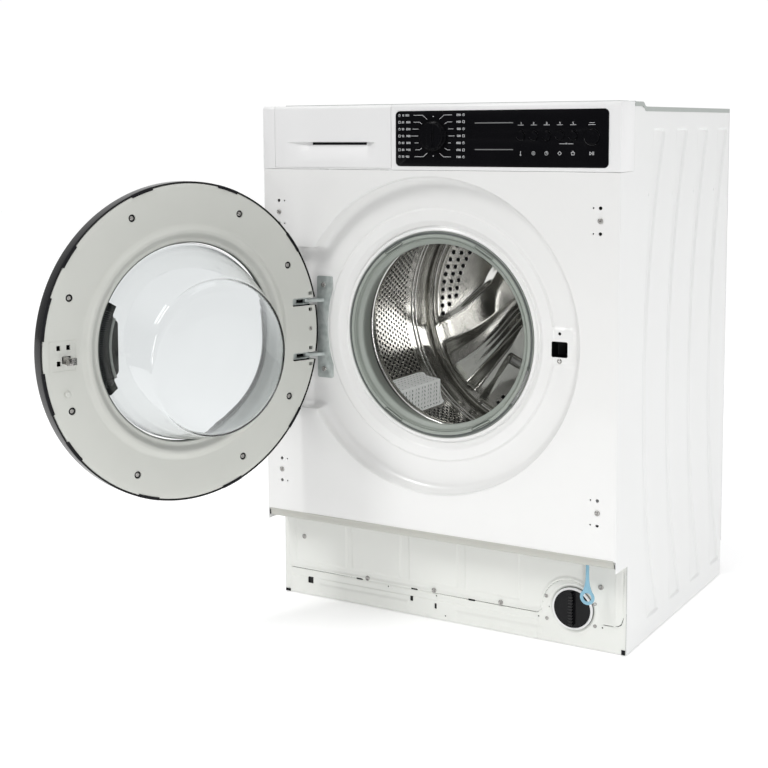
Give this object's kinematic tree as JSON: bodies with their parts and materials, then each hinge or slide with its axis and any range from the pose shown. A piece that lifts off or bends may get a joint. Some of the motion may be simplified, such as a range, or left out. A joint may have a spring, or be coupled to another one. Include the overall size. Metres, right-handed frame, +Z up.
{
  "type": "built-in washing machine",
  "caption": "Front-loading washing machine for a kitchen niche, with a round glass door standing open on its hinge, a detergent drawer, a control panel and a recessed toe space.",
  "frame": {"origin": "floor level, in the middle of the cabinet's width and depth", "axes": "+X to the right seen from the front, +Y from the door to the rear, +Z up"},
  "size_m": [0.6941, 0.9428, 0.8],
  "materials": {
    "white_panel": "satin white enamel",
    "side_sheet": "satin white enamel",
    "zinc_sheet": "galvanised",
    "rear_sheet": "galvanised",
    "base_plastic": "moulded",
    "plinth_sheet": "satin white enamel",
    "fascia_plastic": "satin moulded",
    "dark_window": "glossy black",
    "control_grey": "satin grey",
    "inner_plastic": "moulded",
    "drawer_plastic": "satin moulded",
    "tray_plastic": "moulded",
    "hinge_zinc": "zinc plated",
    "lock_plastic": "moulded",
    "latch_steel": "plated",
    "ring_black": "glossy black",
    "ring_grey": "satin warm grey",
    "bowl_glass": "clear",
    "grip_black": "ribbed black",
    "screw_steel": "plated",
    "gasket_rubber": "moulded grey",
    "clamp_steel": "wire",
    "tub_plastic": "filled moulding",
    "weight_iron": "rough cast",
    "drum_steel": "stainless",
    "lifter_plastic": "translucent white",
    "spider_alloy": "cast",
    "shaft_steel": "ground",
    "pulley_alloy": "cast",
    "belt_rubber": "ribbed belt",
    "motor_case": "cast",
    "motor_steel": "turned",
    "bearing_steel": "polished",
    "spring_steel": "phosphated",
    "damper_black": "moulded",
    "damper_steel": "polished",
    "heater_steel": "plain",
    "pump_plastic": "moulded",
    "filter_black": "satin black",
    "strap_blue": "translucent blue",
    "valve_white": "moulded",
    "spout_grey": "moulded",
    "knob_grey": "satin grey",
    "foot_rubber": "moulded"
  },
  "bodies": {
    "cabinet": {"side_panel_left": "side_sheet", "side_panel_right": "side_sheet", "rear_panel": "rear_sheet", "rear_access_cover": "rear_sheet", "base_frame": "base_plastic", "front_panel": "white_panel", "plinth_panel": "plinth_sheet", "top_plate": "zinc_sheet", "control_fascia": "fascia_plastic", "display_window": "dark_window", "dispenser_housing": "inner_plastic", "hinge_bracket": "hinge_zinc", "lock_housing": "lock_plastic", "front_screws": "screw_steel", "door_gasket": "gasket_rubber", "gasket_clamp": "clamp_steel", "suspension_springs": "spring_steel", "damper_cylinders": "damper_black", "pump_housing": "pump_plastic", "inlet_valve": "valve_white", "drain_outlet": "spout_grey"},
    "door": {"hinge_arms": "hinge_zinc", "door_outer_ring": "ring_black", "door_inner_ring": "ring_grey", "door_glass": "bowl_glass", "door_handle_grip": "grip_black", "door_screws": "screw_steel"},
    "latch": {"latch_hook": "latch_steel"},
    "tub": {"tub_front": "tub_plastic", "tub_rear": "tub_plastic", "counterweight_top": "weight_iron", "counterweight_front": "weight_iron", "drive_belt": "belt_rubber", "motor": "motor_case", "drum_bearings": "bearing_steel", "heater": "heater_steel", "damper_rods": "damper_steel"},
    "drum": {"drum_wrapper": "drum_steel", "drum_front": "drum_steel", "drum_back": "drum_steel", "drum_lifters": "lifter_plastic", "drum_spider": "spider_alloy", "drum_shaft": "shaft_steel", "drum_pulley": "pulley_alloy"},
    "motor_rotor": {"motor_pulley": "motor_steel"},
    "drawer": {"drawer_front": "drawer_plastic", "drawer_tray": "tray_plastic"},
    "knob": {"program_knob": "knob_grey"},
    "option_1": {"option_button_1": "control_grey"},
    "option_2": {"option_button_2": "control_grey"},
    "option_3": {"option_button_3": "control_grey"},
    "option_4": {"option_button_4": "control_grey"},
    "option_5": {"option_button_5": "control_grey"},
    "start": {"start_button": "knob_grey"},
    "filter": {"filter_cap": "filter_black"},
    "release": {"release_pull": "strap_blue"},
    "foot_1": {"foot_front_left": "foot_rubber"},
    "foot_2": {"foot_front_right": "foot_rubber"},
    "foot_3": {"foot_rear_left": "foot_rubber"},
    "foot_4": {"foot_rear_right": "foot_rubber"}
  },
  "joints": [
    {"name": "door_swing", "type": "hinge", "parent": "cabinet", "child": "door", "pos_m": [-0.2242, -0.2433, 0.4525], "axis": [0, 0, 1], "range_deg": [-4, 111]},
    {"name": "latch_turn", "type": "hinge", "parent": "door", "child": "latch", "pos_m": [-0.36736, -0.64358, 0.446], "axis": [0, 0, 1], "range_deg": [0, 15], "stiffness_Nm_per_rad": 0.5},
    {"name": "tub_float", "type": "slide", "parent": "cabinet", "child": "tub", "axis": [0, 0, 1], "range_m": [-0.008, 0.008], "stiffness_N_per_m": 15000, "springref_m": 0.02865, "deforming": ["suspension_springs", "door_gasket"]},
    {"name": "drum_spin", "type": "hinge", "parent": "tub", "child": "drum", "pos_m": [0, 0.0125, 0.4525], "axis": [0, 1, 0], "continuous": true},
    {"name": "motor_spin", "type": "hinge", "parent": "tub", "child": "motor_rotor", "pos_m": [-0.125, 0.1125, 0.15001], "axis": [0, 1, 0], "continuous": true},
    {"name": "drawer_slide", "type": "slide", "parent": "cabinet", "child": "drawer", "axis": [0, -1, 0], "range_m": [0, 0.2]},
    {"name": "knob_turn", "type": "hinge", "parent": "cabinet", "child": "knob", "pos_m": [0.007, -0.2475, 0.753], "axis": [0, 1, 0], "continuous": true},
    {"name": "option_press_1", "type": "slide", "parent": "cabinet", "child": "option_1", "axis": [0, 1, 0], "range_m": [0, 0.0012], "stiffness_N_per_m": 300},
    {"name": "option_press_2", "type": "slide", "parent": "cabinet", "child": "option_2", "axis": [0, 1, 0], "range_m": [0, 0.0012], "stiffness_N_per_m": 300},
    {"name": "option_press_3", "type": "slide", "parent": "cabinet", "child": "option_3", "axis": [0, 1, 0], "range_m": [0, 0.0012], "stiffness_N_per_m": 300},
    {"name": "option_press_4", "type": "slide", "parent": "cabinet", "child": "option_4", "axis": [0, 1, 0], "range_m": [0, 0.0012], "stiffness_N_per_m": 300},
    {"name": "option_press_5", "type": "slide", "parent": "cabinet", "child": "option_5", "axis": [0, 1, 0], "range_m": [0, 0.0012], "stiffness_N_per_m": 300},
    {"name": "start_press", "type": "slide", "parent": "cabinet", "child": "start", "axis": [0, 1, 0], "range_m": [0, 0.0012], "stiffness_N_per_m": 300},
    {"name": "filter_turn", "type": "hinge", "parent": "cabinet", "child": "filter", "pos_m": [0.2145, -0.1875, 0.057], "axis": [0, 1, 0], "range_deg": [-90, 0]},
    {"name": "release_slide", "type": "slide", "parent": "cabinet", "child": "release", "axis": [0, 0, -1], "range_m": [0, 0.012], "stiffness_N_per_m": 400},
    {"name": "foot_front_left", "type": "slide", "parent": "cabinet", "child": "foot_1", "axis": [0, 0, -1], "range_m": [0, 0.02]},
    {"name": "foot_front_right", "type": "slide", "parent": "cabinet", "child": "foot_2", "axis": [0, 0, -1], "range_m": [0, 0.02]},
    {"name": "foot_rear_left", "type": "slide", "parent": "cabinet", "child": "foot_3", "axis": [0, 0, -1], "range_m": [0, 0.02]},
    {"name": "foot_rear_right", "type": "slide", "parent": "cabinet", "child": "foot_4", "axis": [0, 0, -1], "range_m": [0, 0.02]}
  ],
  "couplings": [
    {"joint": "motor_spin", "follows": "drum_spin", "ratio": 12.727}
  ]
}
